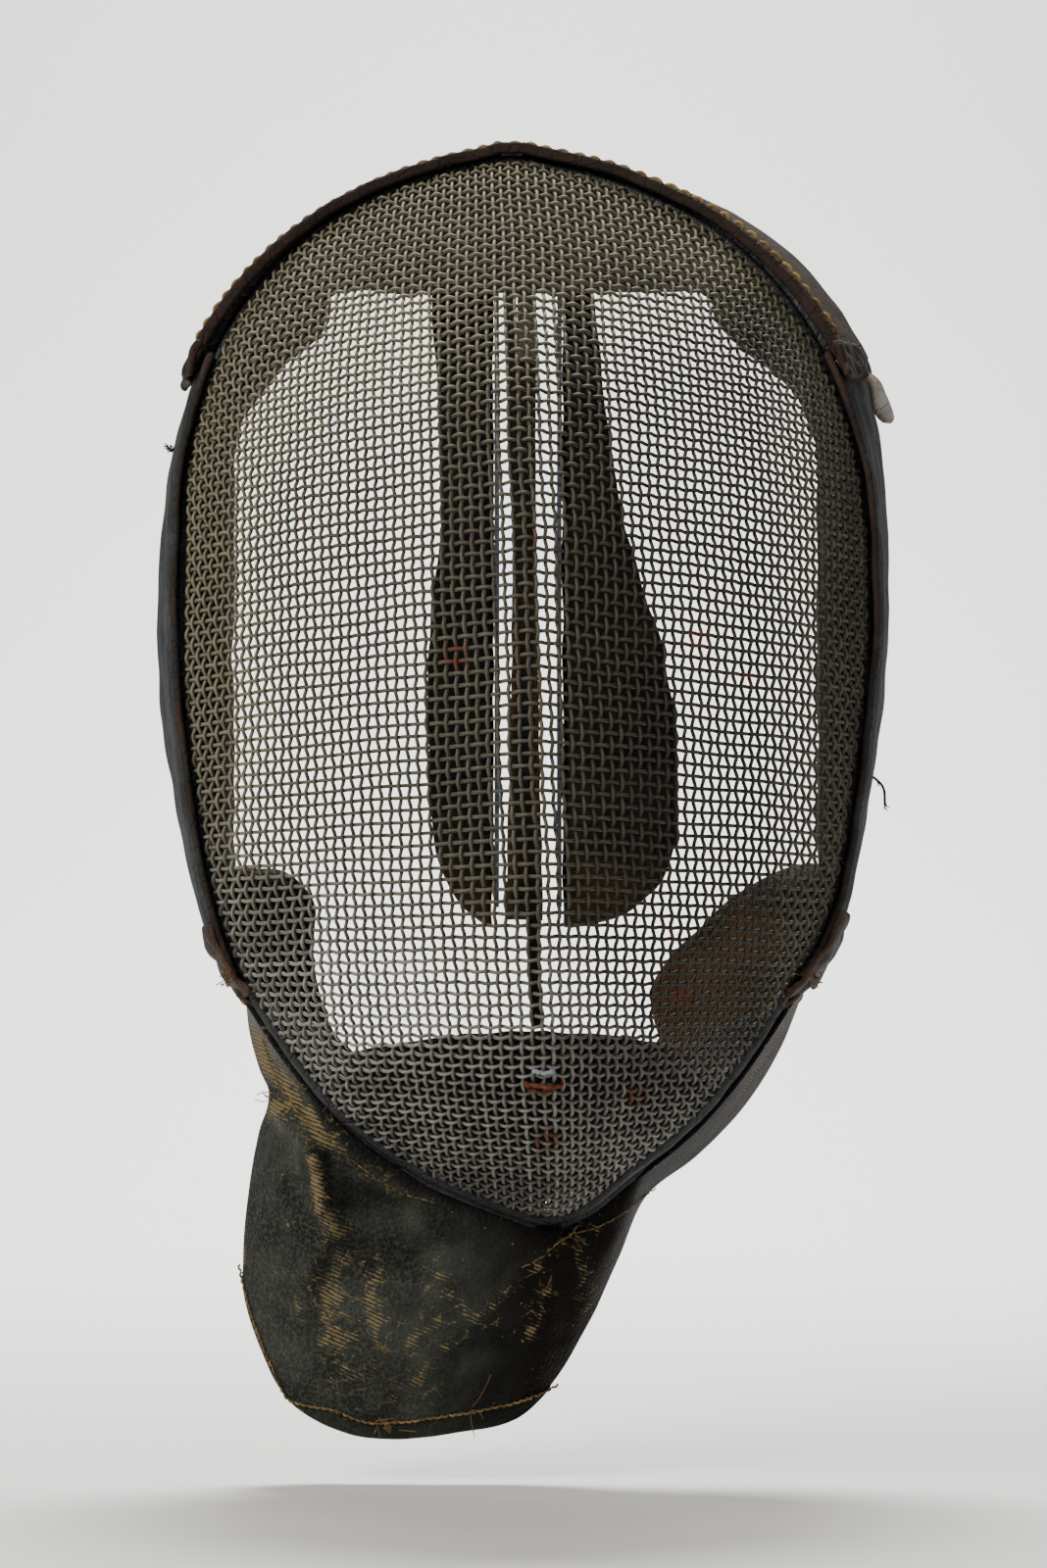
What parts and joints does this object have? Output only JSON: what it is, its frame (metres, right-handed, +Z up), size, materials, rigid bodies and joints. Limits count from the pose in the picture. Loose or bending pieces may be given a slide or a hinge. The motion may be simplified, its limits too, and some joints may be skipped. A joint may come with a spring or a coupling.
{
  "type": "fencing mask",
  "caption": "Old fencing mask: domed woven wire face with a centre ridge, stitched leather crown band, leather sides, sprung tongue behind and a worn black cloth bib",
  "frame": {"origin": "middle of the forehead pad's lower edge at its back, where the crown of a head meets it", "axes": "+Z up, +X to the right of someone who looks at the face, and the wire face looks along -Y"},
  "size_m": [0.2168, 0.1462, 0.3761],
  "materials": {
    "woven_wire": "dull, tarnished, with rust spots",
    "rusty_iron": "rusty",
    "spring_steel": "satin",
    "black_leather": "worn",
    "brown_leather": "worn",
    "pale_leather": "worn",
    "padding_cloth": "matte",
    "coated_cloth": "coated and worn"
  },
  "bodies": {
    "root": {"wire_face": "woven_wire", "ridge_bar": "rusty_iron", "rim_binding": "black_leather", "crown_band": "brown_leather", "side_band_left": "black_leather", "side_band_right": "black_leather", "side_lining_left": "padding_cloth", "side_lining_right": "padding_cloth", "forehead_pad": "padding_cloth", "cheek_flap_left": "brown_leather", "cheek_flap_right": "brown_leather", "chin_pad": "padding_cloth", "tongue_spring": "spring_steel", "tongue_pad_left": "black_leather", "tongue_pad_right": "black_leather", "tongue_strip": "brown_leather", "strap_tab": "pale_leather", "bib": "coated_cloth"}
  },
  "joints": []
}
